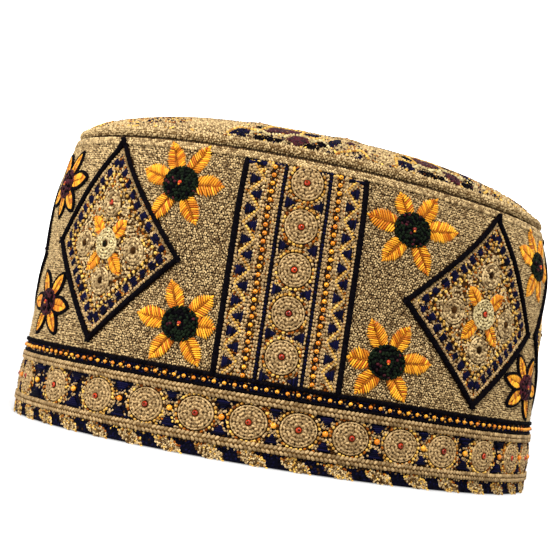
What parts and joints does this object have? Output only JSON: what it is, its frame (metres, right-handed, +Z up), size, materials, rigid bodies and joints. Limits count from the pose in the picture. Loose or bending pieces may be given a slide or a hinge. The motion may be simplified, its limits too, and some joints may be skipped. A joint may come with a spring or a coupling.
{
  "type": "balochi cap",
  "caption": "Round cap with a tapered stitched side wall, a low domed crown, a corded crown edge, braids and a row of raised medallions round the rim.",
  "frame": {"origin": "centre of the rim, on the surface that the cap stands on", "axes": "+Z up along the cap's axis, -Y towards its front panel, +X to the right of that panel"},
  "size_m": [0.1896, 0.1896, 0.1128],
  "materials": {
    "wall_cloth": "dense knotted stitches, matt",
    "crown_cloth": "dense knotted stitches, matt",
    "beige_cord": "twisted and braided thread",
    "medallion_thread": "coiled cotton thread"
  },
  "bodies": {
    "root": {"crown": "crown_cloth", "crown_edge_cord": "beige_cord", "side_wall": "wall_cloth", "seam_braid": "beige_cord", "upper_braid": "beige_cord", "lower_braid": "beige_cord", "rim_medallion_01": "medallion_thread", "rim_medallion_02": "medallion_thread", "rim_medallion_03": "medallion_thread", "rim_medallion_04": "medallion_thread", "rim_medallion_05": "medallion_thread", "rim_medallion_06": "medallion_thread", "rim_medallion_07": "medallion_thread", "rim_medallion_08": "medallion_thread", "rim_medallion_09": "medallion_thread", "rim_medallion_10": "medallion_thread", "rim_medallion_11": "medallion_thread", "rim_medallion_12": "medallion_thread", "rim_medallion_13": "medallion_thread", "rim_medallion_14": "medallion_thread", "rim_medallion_15": "medallion_thread", "rim_medallion_16": "medallion_thread", "rim_medallion_17": "medallion_thread", "rim_medallion_18": "medallion_thread", "rim_medallion_19": "medallion_thread", "rim_medallion_20": "medallion_thread", "rim_medallion_21": "medallion_thread", "rim_medallion_22": "medallion_thread", "rim_medallion_23": "medallion_thread", "rim_medallion_24": "medallion_thread", "rim_medallion_25": "medallion_thread", "rim_medallion_26": "medallion_thread", "rim_medallion_27": "medallion_thread", "rim_medallion_28": "medallion_thread", "rim_medallion_29": "medallion_thread", "rim_medallion_30": "medallion_thread", "rim_medallion_31": "medallion_thread", "rim_medallion_32": "medallion_thread"}
  },
  "joints": []
}
